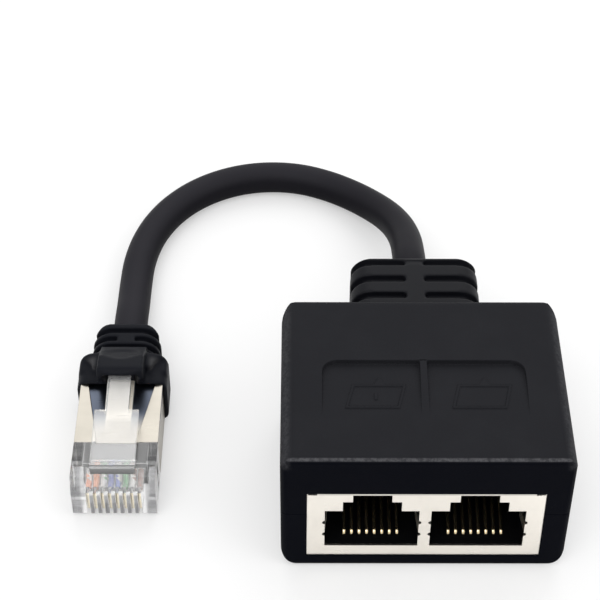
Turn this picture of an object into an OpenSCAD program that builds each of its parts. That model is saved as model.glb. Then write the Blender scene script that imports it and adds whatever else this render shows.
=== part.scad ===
// Network splitter adapter: a small housing with two jacks side by side, and one plug on a short lead.
// Millimetres, +Z up. Origin: middle of the housing's underside. The jacks face -Y, the lead leaves at +Y.

/* [Housing] */
// Width of the housing, side to side
body_w = 38; // [36:0.5:44]
// Depth of the housing, front to back
body_d = 30; // [28:0.5:38]
// Height of the housing
body_h = 21.7; // [20:0.1:26]
// Thickness of the shells' walls
wall = 1.6; // [1.2:0.1:1.8]
// Height of the parting line between the shells
parting_z = 11; // [9:0.5:13]
// Radius of the long top edges
top_r = 2; // [1:0.1:3]
// Radius of the long bottom edges
bottom_r = 3.4; // [2:0.1:3.8]
// Radius of the upright corners at the back
rear_r = 4; // [2:0.1:5]
// Rounding around the front face
front_r = 0.9; // [0.4:0.1:1.4]
// Height of the tongue that keys the lower shell into the upper
tongue_h = 1; // [0.6:0.1:1.6]
// Thickness of that tongue
tongue_t = 0.7; // [0.5:0.1:0.9]

/* [Label pads] */
// Width of one pad
pad_w = 13; // [11:0.1:14]
// Depth of a pad, front to back
pad_d = 10; // [8:0.1:12]
// How deep a pad is at its back edge
pad_sink = 0.8; // [0.4:0.1:1.1]
// Width of the bar between the pads
pad_bar = 1; // [0.6:0.1:2]
// Distance of the pads' back edge behind the middle of the housing
pad_back_y = 2.7; // [0:0.1:4]
// Radius of a pad's outer back corner
pad_r = 2; // [1:0.1:3]
// Line width of the raised outline in a pad
icon_line = 0.4; // [0.3:0.05:0.6]
// Height of that outline over the pad's floor
icon_rise = 0.15; // [0.1:0.05:0.3]

/* [Jacks] */
// Width of the housing's front beside the shield
cheek_w = 3.45; // [2.6:0.05:4.5]
// Width of the shield's plate outside the ports
port_side = 2.365; // [1.5:0.005:2.8]
// Width of the plate's bar between the ports
port_wall = 1.57; // [1.2:0.01:2.5]
// Height of the shield
shield_h = 12.8; // [12.5:0.1:13.4]
// Height of the shield's underside over the table
shield_z = 2.2; // [2:0.1:3]
// Depth of the shield, front to back
shield_d = 17; // [15:0.5:18]
// Sheet thickness of the shield
sheet = 0.3; // [0.2:0.05:0.4]
// How far the shield's front lies behind the housing's front
shield_inset = 0.2; // [0:0.05:0.5]
// Height of the main opening
port_h = 7.2; // [7:0.1:7.6]
// Height of a port's sill over the shield's underside
port_sill = 2; // [1.8:0.1:2.3]
// Width of the first step over the opening
step1_w = 7.7; // [7:0.1:8.2]
// Height of the first step
step1_h = 1.8; // [1.5:0.1:2]
// Width of the upper step, for the latch
step2_w = 5.1; // [4.6:0.1:6]
// Height of the upper step
step2_h = 1.35; // [1.1:0.05:1.5]
// Depth behind a port, where the contacts' tails turn
port_back = 3.6; // [3.4:0.1:4.5]
// Distance between neighbouring contacts
contact_pitch = 1.016; // [1:0.004:1.04]
// Width of a contact strip
contact_w = 0.45; // [0.3:0.05:0.55]
// Thickness of a contact strip
contact_t = 0.3; // [0.2:0.05:0.35]

/* [Circuit board] */
// Room between the board's edge and the side wall
board_side = 1.4; // [0.6:0.1:1.6]
// Room between the board and the roof
board_head = 2.9; // [1:0.1:4]
// Thickness of the board
board_t = 1.6; // [1:0.1:1.6]

/* [Strain relief] */
// Width of the moulded strain relief
relief_w = 18.5; // [16:0.1:22]
// Height of the strain relief
relief_h = 14; // [12:0.1:16]
// How far the strain relief stands out of the housing
relief_l = 13; // [11:0.5:16]
// Radius of its long edges
relief_r = 3; // [2:0.1:4]
// Width of a flex groove
flex_w = 1.2; // [0.8:0.1:1.6]
// Depth of a flex groove
flex_sink = 1.1; // [0.6:0.1:1.5]
// Distance between flex grooves
flex_pitch = 3.4; // [2.6:0.1:4]
// Width of the solid column between the grooves
flex_bridge = 2.8; // [2:0.1:5]

/* [Lead] */
// Diameter of the lead
cable_dia = 5; // [4.6:0.1:5.4]
// Diameter of a wire in the lead
wire_dia = 0.85; // [0.7:0.05:0.92]

/* [Plug] */
// Width of the plug
plug_w = 11.68; // [11.5:0.01:11.8]
// Length of the plug's body
plug_l = 21.46; // [21:0.01:22.5]
// Height of the plug's body, latch apart
plug_h = 6.6; // [6.4:0.05:6.8]
// Distance between the lever's end and the body's rear
latch_back = 3.06; // [2.6:0.01:4]
// Length of the clear nose before the shield
nose_l = 7.3; // [6.5:0.1:8]
// Sheet thickness of the plug's shield
plug_sheet = 0.25; // [0.2:0.05:0.3]
// Width of the latch's wide part
latch_w = 6.2; // [5.8:0.1:6.6]
// Width of the latch's lever
lever_w = 3.25; // [3:0.05:4]
// Thickness of the latch
latch_t = 1; // [0.8:0.05:1.2]
// Thickness of a contact blade
blade_t = 0.35; // [0.25:0.05:0.4]

/* [Boot] */
// Length of the boot behind its front rim
boot_l = 12; // [11:0.5:16]
// Width of the boot's ribbed part
rib_w = 10; // [9.4:0.1:11]
// Wall of the boot's rim around the plug
boot_wall = 0.6; // [0.5:0.05:0.9]
// Width of the tongue over the latch
hood_w = 6.6; // [5.5:0.1:7.5]
// Thickness of the tongue over the latch's end
hood_t = 1; // [0.7:0.1:1.4]

/* [Hidden] */
$fn = 48;
SIDES = ["left", "right"];
LANES = [1:8];
// A cut runs this far past the face that it opens
over = 1;
// A rib or rail starts this far inside the wall that it stands on
bite = 0.3;
// Radius of an edge that looks sharp
edge_r = 0.2;
front_y = -body_d / 2;
rear_y = body_d / 2;
// Ribs over the jacks, rests under them, and the board's rails
rib_in = 3;
rib_side = 3;
rest_l = 3;
rest_side = 4;
rail_t = 1;
rail_hold = 0.4;
rail_foot = 2;
// Raised outline in a pad
icon_w = 7.2;
icon_d = 4.6;
icon_slant = 1;
icon_in = 1.3;
pointer_w = 1.4;
pointer_tip = 0.2;
pointer_l = 1.3;
mark_l = 1.4;
// Shield and ports
shield_w = body_w - 2 * cheek_w;
shield_y = front_y + shield_inset;
shield_back = shield_y + shield_d;
shield_top = shield_z + shield_h;
port_z = shield_z + port_sill;
port_w = (shield_w - 2 * port_side - port_wall) / 2;
port_pitch = port_w + port_wall;
port_x = port_pitch / 2;
port_end = shield_back - port_back;
relief_hole_r = 0.33;
relief_hole_z = [2.4, 4.8];
tab_in = 0.35;
tab_l = 3;
tab_gap = 0.2;
base_l = 3;
notch_w = 1.2;
notch_h = 0.45;
notch_side = 0.15;
lip_h = 0.35;
lip_out = 0.08;
back_open_h = 7;
// Contact block under and behind a port, and the strips' run in it
block_side = 0.636;
block_w = 8 * contact_pitch + 2 * block_side;
block_front = 1.4;
block_rise = 4.6;
block_back_t = 2.4;
run_drop = 0.8;
run_z = port_z - run_drop;
bend_r = 0.6;
bend_in = 2.6;
bend_y = shield_y + bend_in;
free_gap = 0.2;
free_y = port_end - block_back_t - free_gap;
free_rise = 2.8;
free_z = port_z + free_rise;
tail_turn = 0.6;
tail_step = 2.54;
tail_out = 0.8;
// Circuit board
board_w = body_w - 2 * (wall + board_side);
board_h = body_h - wall - shield_z - board_head;
board_y = shield_back;
board_back = board_y + board_t;
peg_h = 1.4;
peg_rise = 3;
peg_z = shield_z + peg_rise;
// Strain relief
cable_r = cable_dia / 2;
cable_z = parting_z;
relief_end = rear_y + relief_l;
relief_rim_r = 2.1;
collar_l = 0.5;
collar_t = 0.7;
flange_t = 1.2;
neck_in = 1.4;
flange_gap = 0.2;
groove_in = 1.5;
lead_in = 0.6;
lead_start = rear_y - wall - flange_t - lead_in;
// Plug: its own frame has the tip at y = 0, the middle at x = 0 and the underside at z = 0
plug_place = [-42, -6.5, boot_wall];
plug_mid_z = plug_h / 2;
slot_gap = 0.05;
slot_w = blade_t + 2 * slot_gap;
slot_open = 1.4;
wire_z = 3.5;
wire_tip = 1.8;
wire_tip_gap = 0.2;
blade_top = wire_z - wire_dia / 2;
blade_l = 3.2;
blade_front = 0.7;
blade_low = 0.3;
bar_front = 4.4;
bar_l = 4;
bar_side = 1.34;
bar_w = plug_w - 2 * bar_side;
bar_h = 3.4;
cavity_side = 1.04;
cavity_w = plug_w - 2 * cavity_side;
cavity_wall = 0.8;
cavity_h = plug_h - 2 * cavity_wall;
jacket_in = 8;
nose_slope = 1;
nose_slope_z = 4.3;
flank_y = 3.6;
flank_l = 1.2;
flank_in = 0.35;
flank_z = 1;
trough_sink = 0.4;
trough_front_w = 5.4;
trough_rear_w = plug_w - 2 * cavity_side;
trough_rear_l = 3;
latch_root = 2.5;
root_l = 1.4;
root_before = 1;
under_y = 4;
under_sink = 0.5;
latch_wide_l = 8.7;
latch_step = latch_root + latch_wide_l;
latch_end = plug_l - latch_back;
latch_lift = 1.4;
latch_gap = 0.7;
latch_top = plug_h + latch_gap + latch_lift + latch_t;
crimp_t = 0.3;
neck_w = 3;
crimp_l = 4;
// Boot
rim_hold = 3.4;
rim_l = 5;
rim_y = plug_l - rim_hold;
boot_rear = rim_y + boot_l;
rim_h = plug_h + 2 * boot_wall;
rim_w = plug_w + 2 * boot_wall;
rim_r = 1.2;
rim_top_r = 1.6;
rib_r = 3;
rib_end_r = 2;
rib_start = rim_y + rim_l;
hood_gap = 0.3;
hood_h = boot_wall + latch_top + hood_gap + hood_t;
hood_reach = 1.5;
hood_tip = rim_y - hood_reach;
hood_foot = 1;
hood_back = rib_start + hood_foot;
hood_slope = 0.4;
hood_bevel = 0.8;
hood_lip = 0.6;
lever_gap = 0.4;
ear_in = 2.2;
ear_y = rim_y + ear_in;
ear_r = 2.4;
ear_rise = 1.2;
ear_arch = 2.2;
groove_w = 0.95;
groove_sink = 1;
groove_at = [1.4, 3.05, 4.6, 6];
groove_bridge = [0, 2.6, 0, 4.6];
// Route of the lead's middle line, from inside the housing to inside the plug
lead_route = [
    [0, lead_start, cable_z], [0, 20, cable_z], [0, 28, 11], [0, 32.68, 10.69], [0, 37.36, 9.42],
    [-0.2, 42.04, 7.89], [-1, 46.65, 6.37], [-2.54, 51.06, 4.85], [-4.9, 55.09, 3.55],
    [-8.05, 58.54, 2.78], [-11.89, 61.19, 2.5], [-16.25, 62.88, 2.5], [-20.88, 63.47, 2.5],
    [-25.52, 62.94, 2.5], [-29.89, 61.31, 2.5], [-33.77, 58.7, 2.5], [-36.96, 55.29, 2.5],
    [-39.36, 51.28, 2.5], [-40.94, 46.88, 2.5], [-41.77, 42.28, 2.5], [-42, 37.6, 2.52],
    [-42, 32.92, 2.96], [-42, 28.24, 3.68], [-42, 23.4, 3.9], [-42, 19, 3.9],
    [-42, plug_place[1] + plug_l - jacket_in, 3.9]];
lead_sides = 12;
wire_sides = 8;
// Where a wire sits in the lead: eight places on a ring, sorted from left to right
wire_ring_r = 1.5;
wire_angle = [195, 140, 240, 95, 275, 60, 316, 15];
// Wires on the board: four columns in two rows
pad_column = 5;
pad_row = 4;
// Lane 1 is the leftmost one seen from the ports: whites alternate with orange, blue, green and brown
wire_colours = ["#f3e0cc", "#e8842a", "#dcebd8", "#2f55a8", "#d8e1f0", "#3c9650", "#e6d8cd", "#7a4a2e"];

// A rectangle that stands on the X axis, with a radius for each corner, from bottom left to top left
module rounded(w, h, r) {
    difference() {
        translate([-w / 2, 0]) square([w, h]);
        translate([-w / 2, 0]) corner_cut(r[0]);
        translate([w / 2, 0]) rotate(90) corner_cut(r[1]);
        translate([w / 2, h]) rotate(180) corner_cut(r[2]);
        translate([-w / 2, h]) rotate(270) corner_cut(r[3]);
    }
}

// The same radius for four corners
function all_round(r) = [r, r, r, r];

// What a radius takes off a corner that lies at the origin
module corner_cut(r) {
    difference() {
        translate([-over, -over]) square(r + over);
        translate([r, r]) circle(r);
    }
}

// A 2D outline drawn in X and Z, made solid from y0 to y1
module along_y(y0, y1) {
    translate([0, y1, 0]) rotate([90, 0, 0]) linear_extrude(y1 - y0) children();
}

// A 2D outline drawn in Y and Z, made solid over a width about X
module across_x(w) {
    rotate([90, 0, 90]) linear_extrude(w, center = true) children();
}

// A box by its middle in X, its first corner in Y and Z, and its size
module slab(x, y, z, size) {
    translate([x - size[0] / 2, y, z]) cube(size);
}

// Outer form of the housing, or the same form set in by a wall
module housing_form(inset = 0) {
    w = body_w - 2 * inset;
    d = body_d - 2 * inset;
    h = body_h - 2 * inset;
    small = max(front_r - inset, 0.2);
    top = max(top_r - inset, 0.3);
    intersection() {
        translate([0, 0, inset])
            along_y(front_y, rear_y)
            rounded(w, h, [bottom_r - inset, bottom_r - inset, top, top]);
        translate([0, front_y + inset, 0])
            linear_extrude(body_h)
            rounded(w, d, [small, small, rear_r - inset, rear_r - inset]);
        translate([0, 0, inset])
            across_x(body_w)
            rounded(d, h, [small, small, top, small]);
    }
}

// Everything above or below the parting line
module above_parting(z = parting_z) {
    slab(0, front_y - over, z, [body_w + 2 * over, body_d + 2 * over, body_h]);
}

// The step around the parting line where the lower shell's tongue stands
module tongue_zone(z_top) {
    intersection() {
        housing_form(wall - tongue_t);
        slab(0, front_y - over, parting_z - bite,
            [body_w + 2 * over, body_d + 2 * over, z_top - parting_z + bite]);
    }
}

// The window for the jacks in the front wall
module front_window() {
    slab(0, front_y - over, shield_z, [shield_w, wall + 2 * over, shield_h]);
}

// The hole in the rear wall that the strain relief's neck fills
module neck_form(y0, y1) {
    translate([0, 0, cable_z - relief_h / 2 + neck_in])
        along_y(y0, y1)
        rounded(relief_w - 2 * neck_in, relief_h - 2 * neck_in, all_round(relief_r - neck_in));
}

// Floor line of a pad: it runs out to nothing at the front
module pad_wedge(lift = 0) {
    y_front = pad_back_y - pad_d;
    across_x(body_w)
        polygon([
            [y_front - over, body_h + pad_sink * over / pad_d + lift],
            [pad_back_y, body_h - pad_sink + lift],
            [pad_back_y, body_h + over + lift],
            [y_front - over, body_h + over + lift]]);
}

// One pad, cut into the top: side is -1 for the left one and 1 for the right one
module pad_cut(side) {
    mid = side * (pad_bar + pad_w) / 2;
    corner = side < 0 ? [edge_r, edge_r, edge_r, pad_r] : [edge_r, edge_r, pad_r, edge_r];
    difference() {
        intersection() {
            pad_wedge();
            translate([mid, pad_back_y - pad_d - over, body_h - pad_sink - over])
                linear_extrude(pad_sink + 3 * over)
                rounded(pad_w, pad_d + over, corner);
        }
        difference() {
            translate([side * port_x, pad_back_y - pad_d, body_h - pad_sink - over])
                linear_extrude(pad_sink + over)
                icon_lines(side);
            pad_wedge(icon_rise);
        }
    }
}

// Raised outline in a pad: a slanted screen with a small pointer behind it
module icon_lines(side) {
    k = icon_slant / icon_d;
    left = -icon_w / 2;
    right = icon_w / 2;
    low = icon_in + icon_line;
    high = icon_in + icon_d - icon_line;
    back = icon_in + icon_d;
    difference() {
        polygon([
            [left, icon_in], [right, icon_in], [right + icon_slant, back], [left + icon_slant, back]]);
        polygon([
            [left + icon_line * (1 + k), low], [right - icon_line * (1 - k), low],
            [right + icon_slant - icon_line * (1 + k), high],
            [left + icon_slant + icon_line * (1 - k), high]]);
    }
    translate([icon_slant, back])
        polygon([[-pointer_w / 2, -icon_line / 2], [pointer_w / 2, -icon_line / 2], [pointer_w / 2, 0],
            [pointer_tip / 2, pointer_l], [-pointer_tip / 2, pointer_l], [-pointer_w / 2, 0]]);
    if (side < 0)
        translate([icon_slant / 2, icon_in + icon_d / 2]) square([icon_line, mark_l], center = true);
}

module upper_shell() {
    rib_y = [shield_y + rib_in, shield_back - rib_in];
    color("#26272b") {
        difference() {
            housing_form();
            above_parting(parting_z - body_h);
            housing_form(wall);
            tongue_zone(parting_z + tongue_h);
            front_window();
            neck_form(rear_y - wall - over, rear_y + over);
            for (side = [-1, 1]) pad_cut(side);
        }
        // Ribs under the top press the jacks down
        for (y = rib_y)
            slab(0, y, shield_top, [shield_w - 2 * rib_side, rail_t, body_h - wall + bite - shield_top]);
        board_rails(parting_z + tongue_h, shield_z + board_h);
    }
}

// Two upright rails at the side walls that hold the board's edges
module board_rails(z0, z1) {
    rail_w = rail_hold + board_side + bite;
    for (side = [-1, 1])
        difference() {
            slab(side * (board_w / 2 - rail_hold + rail_w / 2), board_y - rail_t, z0,
                [rail_w, board_t + 2 * rail_t, z1 - z0]);
            board_blank();
        }
}

module lower_shell() {
    color("#232428") {
        difference() {
            union() {
                difference() {
                    housing_form();
                    above_parting();
                }
                tongue_zone(parting_z + tongue_h);
            }
            housing_form(wall);
            front_window();
            neck_form(rear_y - wall - over, rear_y + over);
        }
        // Rests under the jacks, and a sill under the board
        for (y = [shield_y + wall, shield_back - rest_l])
            slab(0, y, wall - bite, [shield_w - 2 * rest_side, rest_l, shield_z - wall + bite]);
        slab(0, board_y, wall - bite, [shield_w - 2 * rest_side, board_t, shield_z - wall + bite]);
        board_rails(wall + rail_foot, parting_z);
    }
}

// Outline of a port's opening, its sill on the X axis
module port_outline() {
    translate([-port_w / 2, 0]) square([port_w, port_h]);
    translate([-step1_w / 2, port_h - over]) square([step1_w, over + step1_h]);
    translate([-step2_w / 2, port_h]) square([step2_w, step1_h + step2_h]);
}

// A spring tab that is folded into a port from its side edge
module side_tab(side) {
    z0 = port_z + relief_hole_z[0] + relief_hole_r;
    tab_h = relief_hole_z[1] - relief_hole_z[0] - 2 * relief_hole_r;
    translate([side * port_w / 2, shield_y, z0])
        linear_extrude(tab_h)
        polygon([[0, 0], [side * sheet, 0], [side * sheet, sheet], [-side * (tab_in - sheet), tab_l],
            [-side * tab_in, tab_l]]);
}

module jack_shield() {
    color("#e8e3da") {
        difference() {
            slab(0, shield_y, shield_z, [shield_w, shield_d, shield_h]);
            // The sheet is folded into a box that is open underneath
            slab(0, shield_y + sheet, shield_z + sheet,
                [shield_w - 2 * sheet, shield_d - 2 * sheet, shield_h - 2 * sheet]);
            slab(0, shield_y + base_l, shield_z - over, [shield_w - 2 * sheet, shield_d, sheet + 2 * over]);
            // Its back is open over the lower half, for the contacts' tails
            slab(0, shield_back - sheet - over, shield_z - over,
                [shield_w - 2 * sheet, sheet + 2 * over, over + back_open_h]);
            for (side = [-1, 1]) {
                translate([side * port_x, 0, port_z])
                    along_y(shield_y - over, shield_y + 2 * sheet)
                    port_outline();
                slab(side * (shield_w / 2 - notch_side - notch_w / 2), shield_y - over,
                    shield_top - notch_h, [notch_w, over + sheet, notch_h + over]);
                for (edge = [-1, 1], z = relief_hole_z)
                    translate([side * port_x + edge * port_w / 2, 0, port_z + z])
                        along_y(shield_y - over, shield_y + 2 * sheet)
                        circle(relief_hole_r);
            }
        }
        // The fold at the top stands a little proud of the plate
        slab(0, shield_y - lip_out, shield_top - lip_h,
            [shield_w - 2 * (notch_w + 2 * notch_side), lip_out + sheet, lip_h]);
        for (side = [-1, 1]) {
            for (edge = [-1, 1]) translate([side * port_x, 0, 0]) side_tab(edge);
            // Pegs that are soldered into the board
            slab(side * (shield_w - sheet) / 2, shield_back - sheet, peg_z,
                [sheet, sheet + board_t + tail_out, peg_h]);
        }
    }
}

// The hollow of one port in the moulded insert, with room for the shield's tabs
module port_hollow(x) {
    translate([x, 0, port_z]) along_y(shield_y, port_end) port_outline();
    slab(x, shield_y + sheet, port_z + relief_hole_z[0],
        [port_w + 2 * sheet, tab_l + tab_gap, relief_hole_z[1] - relief_hole_z[0]]);
}

// The pocket that a contact block fills
module block_form(x) {
    slab(x, shield_y + block_front, shield_z + sheet,
        [block_w, shield_d - sheet - block_front, port_sill - sheet]);
    slab(x, port_end - block_back_t, shield_z + sheet, [block_w, block_back_t, block_rise + port_sill]);
}

module jack_housing() {
    color("#141417")
        difference() {
            slab(0, shield_y + sheet, shield_z + sheet,
                [shield_w - 2 * sheet, shield_d - 2 * sheet, shield_h - 2 * sheet]);
            for (side = [-1, 1]) {
                port_hollow(side * port_x);
                block_form(side * port_x);
                // The tails' way to the board
                slab(side * port_x, port_end - over, shield_z + sheet,
                    [block_w, shield_d, block_rise + port_sill]);
            }
        }
}

module contact_block(s) {
    x = s == "left" ? -port_x : port_x;
    color("#1b1b1f")
        difference() {
            block_form(x);
            for (i = LANES) translate([x + lane_x(i), 0, 0]) contact_strip(i);
        }
}

function lane_x(i) = (i - 4.5) * contact_pitch;

// A straight stretch of a strip between two points of its side view
module strip(p, q, t) {
    d = q - p;
    translate(p) {
        rotate(atan2(d[1], d[0])) translate([0, -t / 2]) square([norm(d), t]);
        circle(t / 2);
    }
}

// One contact: tail in the board, run under the port, bend at the front, spring up to the back
module contact_strip(i) {
    tail_z = i % 2 == 0 ? run_z : run_z + tail_step;
    turn = [port_end + tail_turn, port_end + tail_turn + tail_step];
    tail_end = board_back + tail_out;
    centre = [bend_y, run_z + bend_r];
    across_x(contact_w) {
        strip([bend_y, run_z], [turn[0], run_z], contact_t);
        strip([turn[0], run_z], [turn[1], tail_z], contact_t);
        strip([turn[1], tail_z], [tail_end, tail_z], contact_t);
        difference() {
            translate(centre) circle(bend_r + contact_t / 2);
            translate(centre) circle(bend_r - contact_t / 2);
            translate(centre + [0, -2 * bend_r]) square(4 * bend_r);
        }
        strip([bend_y, run_z + 2 * bend_r], [free_y, free_z], contact_t);
    }
}

module jack_contact(s, i) {
    x = s == "left" ? -port_x : port_x;
    color("#e9c765") translate([x + lane_x(i), 0, 0]) contact_strip(i);
}

module board_blank() {
    slab(0, board_y, shield_z, [board_w, board_t, board_h]);
}

module circuit_board() {
    color("#1f5a33")
        difference() {
            board_blank();
            for (side = [-1, 1]) {
                for (i = LANES) translate([side * port_x + lane_x(i), 0, 0]) contact_strip(i);
                slab(side * (shield_w - sheet) / 2, board_y - over, peg_z,
                    [sheet, board_t + 2 * over, peg_h]);
            }
        }
}

// Outer form of the strain relief: long edges, rear corners and rear rim are rounded
module relief_form() {
    z0 = cable_z - relief_h / 2;
    body_l = relief_l - collar_l;
    intersection() {
        translate([0, 0, z0])
            along_y(rear_y, rear_y + body_l)
            rounded(relief_w, relief_h, all_round(relief_r));
        translate([0, rear_y, z0])
            linear_extrude(relief_h)
            rounded(relief_w, body_l, [edge_r, edge_r, relief_r, relief_r]);
        translate([0, rear_y + body_l / 2, z0])
            across_x(relief_w)
            rounded(body_l, relief_h, [edge_r, relief_rim_r, relief_rim_r, edge_r]);
    }
}

// One flex groove: a ring around a form, left solid over a column in the middle of the top and underside
module flex_ring(y, w, h, z0, r, sink, groove, bridge) {
    difference() {
        slab(0, y - groove / 2, z0 - over, [w + 2 * over, groove, h + 2 * over]);
        translate([0, 0, z0 + sink])
            along_y(y - groove, y + groove)
            rounded(w - 2 * sink, h - 2 * sink, all_round(max(r - sink, edge_r)));
        if (bridge > 0) slab(0, y - groove, z0 - 2 * over, [bridge, 2 * groove, h + 4 * over]);
    }
}

module strain_relief() {
    z0 = cable_z - relief_h / 2;
    first = relief_end - collar_l - groove_in;
    color("#1c1d21")
        difference() {
            union() {
                relief_form();
                neck_form(rear_y - wall - flange_t / 2, rear_y + over);
                // Inner flange against the rear wall, clear of the roof and the floor
                intersection() {
                    translate([0, 0, z0 + neck_in / 2])
                        along_y(rear_y - wall - flange_t, rear_y - wall)
                        rounded(relief_w - neck_in, relief_h - neck_in, all_round(relief_r - neck_in / 2));
                    slab(0, front_y, wall + flange_gap,
                        [body_w - 2 * (wall + flange_gap), body_d, body_h - 2 * (wall + flange_gap)]);
                }
                translate([0, 0, cable_z])
                    along_y(relief_end - collar_l - over, relief_end)
                    circle(cable_r + collar_t);
            }
            translate([0, 0, cable_z]) along_y(lead_start - over, relief_end + over) circle(cable_r);
            for (k = [0:2])
                flex_ring(first - k * flex_pitch, relief_w, relief_h, z0, relief_r,
                    flex_sink, flex_w, flex_bridge);
        }
}

function unit(v) = v / norm(v);

// Direction of a route at its point k: every route here starts and ends along Y
function heading(route, k) =
    let (last = len(route) - 1, d = route[min(k + 1, last)] - route[max(k - 1, 0)])
    k == 0 || k == last ? [0, sign(d[1]), 0] : unit(d);

// Rings of a round tube of n sides along a route that never stands upright
function tube_points(route, r, n) = [
    for (k = [0:len(route) - 1])
        let (t = heading(route, k), side = unit(cross(t, [0, 0, 1])), up = cross(side, t))
        for (j = [0:n - 1]) route[k] + r * (cos(360 * j / n) * side + sin(360 * j / n) * up)];

// Faces between the rings, and the two ends
function tube_faces(rings, n) = concat(
    [[for (j = [0:n - 1]) j]],
    [for (k = [0:rings - 2], j = [0:n - 1])
        [k * n + j, (k + 1) * n + j, (k + 1) * n + (j + 1) % n, k * n + (j + 1) % n]],
    [[for (j = [n - 1:-1:0]) (rings - 1) * n + j]]);

module tube(route, r, n) {
    polyhedron(tube_points(route, r, n), tube_faces(len(route), n), convexity = 6);
}

module cable_jacket() {
    color("#2a292d") tube(lead_route, cable_r, lead_sides);
}

// A smooth route from one point to another that starts and ends along Y
function wire_route(from, to, steps = 8) =
    let (reach = (to[1] - from[1]) * 0.45, a = from + [0, reach, 0], b = to - [0, reach, 0])
    [for (k = [0:steps])
        let (u = k / steps, v = 1 - u)
        v * v * v * from + 3 * v * v * u * a + 3 * v * u * u * b + u * u * u * to];

// Where wire i leaves the lead's end, seen along Y
function ring_place(i) = wire_ring_r * [cos(wire_angle[i - 1]), 0, sin(wire_angle[i - 1])];

module lead_wire(i) {
    column = floor((i - 1) / 2) - 1.5;
    row = sign(sin(wire_angle[i - 1]));
    on_board = [column * pad_column, board_back, cable_z + row * pad_row / 2];
    in_lead = [0, lead_start, cable_z] + ring_place(i);
    color(wire_colours[i - 1]) tube(wire_route(on_board, in_lead), wire_dia / 2, wire_sides);
}

// Plan of the trough under the latch: it flares towards the plug's rear
module trough_plan(grow = 0) {
    polygon([
        [-trough_front_w / 2 - grow, nose_l], [trough_front_w / 2 + grow, nose_l],
        [trough_rear_w / 2 + grow, plug_l - trough_rear_l], [trough_rear_w / 2 + grow, plug_l + over],
        [-trough_rear_w / 2 - grow, plug_l + over], [-trough_rear_w / 2 - grow, plug_l - trough_rear_l]]);
}

// The latch, in side view: rooted at the nose, it rises towards the rear
module latch_profile(y0, y1) {
    rise = latch_lift / (latch_end - latch_root);
    low = plug_h + latch_gap;
    polygon([
        [y0, low + rise * (y0 - latch_root)], [y1, low + rise * (y1 - latch_root)],
        [y1, low + latch_t + rise * (y1 - latch_root)], [y0, low + latch_t + rise * (y0 - latch_root)]]);
}

module plug_body() {
    core = plug_sheet;
    color("#cfd6d8", 0.5) translate(plug_place) {
        difference() {
            union() {
                slab(0, 0, 0, [plug_w, nose_l, plug_h]);
                slab(0, nose_l - over, core,
                    [plug_w - 2 * core, plug_l - core - nose_l + over, plug_h - 2 * core]);
            }
            // Sloped top of the nose
            across_x(plug_w + 2 * over)
                polygon([[-over, nose_slope_z - over], [0, nose_slope_z], [nose_slope, plug_h],
                    [nose_slope, plug_h + over], [-over, plug_h + over]]);
            for (i = LANES)
                slab(lane_x(i), -over, -over, [slot_w, blade_front + blade_l + over, blade_top + over]);
            for (i = LANES) slab(lane_x(i), -over, 0, [slot_w, over + slot_open, nose_slope_z]);
            // Wire space, the load bar's seat and the hollow for the lead
            slab(0, wire_tip - wire_tip_gap, blade_top, [8 * contact_pitch, bar_front, wire_dia]);
            slab(0, bar_front, wire_z - bar_h / 2, [bar_w, plug_l, bar_h]);
            slab(0, bar_front + bar_l, plug_mid_z - cavity_h / 2, [cavity_w, plug_l, cavity_h]);
            translate([0, 0, plug_h - core - trough_sink]) linear_extrude(plug_h) trough_plan(core);
            // Shallow relief under the latch's root, and a step in each flank
            slab(0, under_y, plug_h - under_sink, [latch_w, nose_l - under_y, under_sink + over]);
            for (side = [-1, 1])
                slab(side * plug_w / 2, flank_y, flank_z, [2 * flank_in, flank_l, plug_h - 2 * flank_z]);
        }
        // Root, wide part and lever of the latch
        slab(0, latch_root - root_before, plug_h - bite, [latch_w, root_l, bite + latch_gap + latch_t / 4]);
        across_x(latch_w) latch_profile(latch_root - root_before, latch_step);
        across_x(lever_w) latch_profile(latch_step, latch_end);
    }
}

module plug_shield() {
    t = plug_sheet;
    color("#e4dfd6") translate(plug_place) {
        difference() {
            slab(0, nose_l, 0, [plug_w, plug_l - nose_l, plug_h]);
            slab(0, nose_l - over, t, [plug_w - 2 * t, plug_l, plug_h - 2 * t]);
            translate([0, 0, plug_h - t - over]) linear_extrude(plug_h) trough_plan();
        }
        // The trough's floor and flanks
        difference() {
            intersection() {
                translate([0, 0, plug_h - t - trough_sink]) linear_extrude(trough_sink + t) trough_plan(t);
                slab(0, nose_l, 0, [plug_w, plug_l - nose_l, plug_h]);
            }
            translate([0, 0, plug_h - trough_sink]) linear_extrude(plug_h) trough_plan();
        }
        // A tab at the rear rises to the ring that is crimped on the lead
        slab(0, plug_l - t, 0, [neck_w, t, plug_mid_z - cable_r]);
        translate([0, 0, plug_mid_z])
            along_y(plug_l - t, plug_l + crimp_l)
            difference() {
                circle(cable_r + crimp_t);
                circle(cable_r);
            }
    }
}

// The guide that spaces the wires over the blades
module plug_load_bar() {
    color("#dfe3e4") translate(plug_place)
        difference() {
            slab(0, bar_front, wire_z - bar_h / 2, [bar_w, bar_l, bar_h]);
            for (i = LANES)
                translate([lane_x(i), 0, wire_z])
                    along_y(bar_front - over, bar_front + bar_l + over)
                    circle(wire_dia / 2);
        }
}

module plug_contact(i) {
    color("#e9c765") translate(plug_place)
        slab(lane_x(i), blade_front, blade_low, [blade_t, blade_l, blade_top - blade_low]);
}

module plug_wire(i) {
    bar_end = bar_front + bar_l;
    fan = wire_route([lane_x(i), bar_end, wire_z], [0, plug_l - jacket_in, plug_mid_z] + ring_place(i), 6);
    color(wire_colours[i - 1]) translate(plug_place)
        tube(concat([[lane_x(i), wire_tip, wire_z]], fan), wire_dia / 2, wire_sides);
}

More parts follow.
